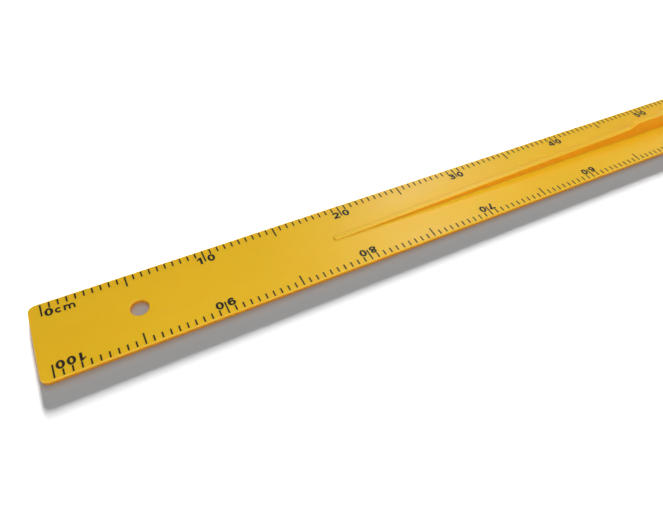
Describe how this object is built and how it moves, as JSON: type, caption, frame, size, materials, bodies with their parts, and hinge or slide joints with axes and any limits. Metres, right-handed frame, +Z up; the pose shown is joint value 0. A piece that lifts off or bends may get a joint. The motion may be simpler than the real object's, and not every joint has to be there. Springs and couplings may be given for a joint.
{
  "type": "metre rule",
  "caption": "Flat plastic metre rule with a hanging hole, a raised tapering grip rib along its middle, and two printed scales that run in opposite directions.",
  "frame": {"origin": "middle of the underside, at the bottom centre of the bounding box", "axes": "+X along the rule, from the rear scale's zero mark to its hundred mark; +Y across the rule, towards the rear scale; +Z up, out of the printed face"},
  "size_m": [1.015, 0.0558, 0.0173],
  "materials": {
    "yellow_plastic": "satin golden yellow, moulded through",
    "black_ink": "semi-matt black print"
  },
  "bodies": {
    "root": {"blade": "yellow_plastic", "front_five_centimetre_marks": "black_ink", "front_half_centimetre_marks": "black_ink", "front_numeral_0": "black_ink", "front_numeral_10": "black_ink", "front_numeral_100": "black_ink", "front_numeral_20": "black_ink", "front_numeral_30": "black_ink", "front_numeral_40": "black_ink", "front_numeral_50": "black_ink", "front_numeral_60": "black_ink", "front_numeral_70": "black_ink", "front_numeral_80": "black_ink", "front_numeral_90": "black_ink", "front_ten_centimetre_marks": "black_ink", "front_unit_cm": "black_ink", "grip_rib": "yellow_plastic", "rear_five_centimetre_marks": "black_ink", "rear_half_centimetre_marks": "black_ink", "rear_numeral_0": "black_ink", "rear_numeral_10": "black_ink", "rear_numeral_100": "black_ink", "rear_numeral_20": "black_ink", "rear_numeral_30": "black_ink", "rear_numeral_40": "black_ink", "rear_numeral_50": "black_ink", "rear_numeral_60": "black_ink", "rear_numeral_70": "black_ink", "rear_numeral_80": "black_ink", "rear_numeral_90": "black_ink", "rear_ten_centimetre_marks": "black_ink", "rear_unit_cm": "black_ink"}
  },
  "joints": []
}
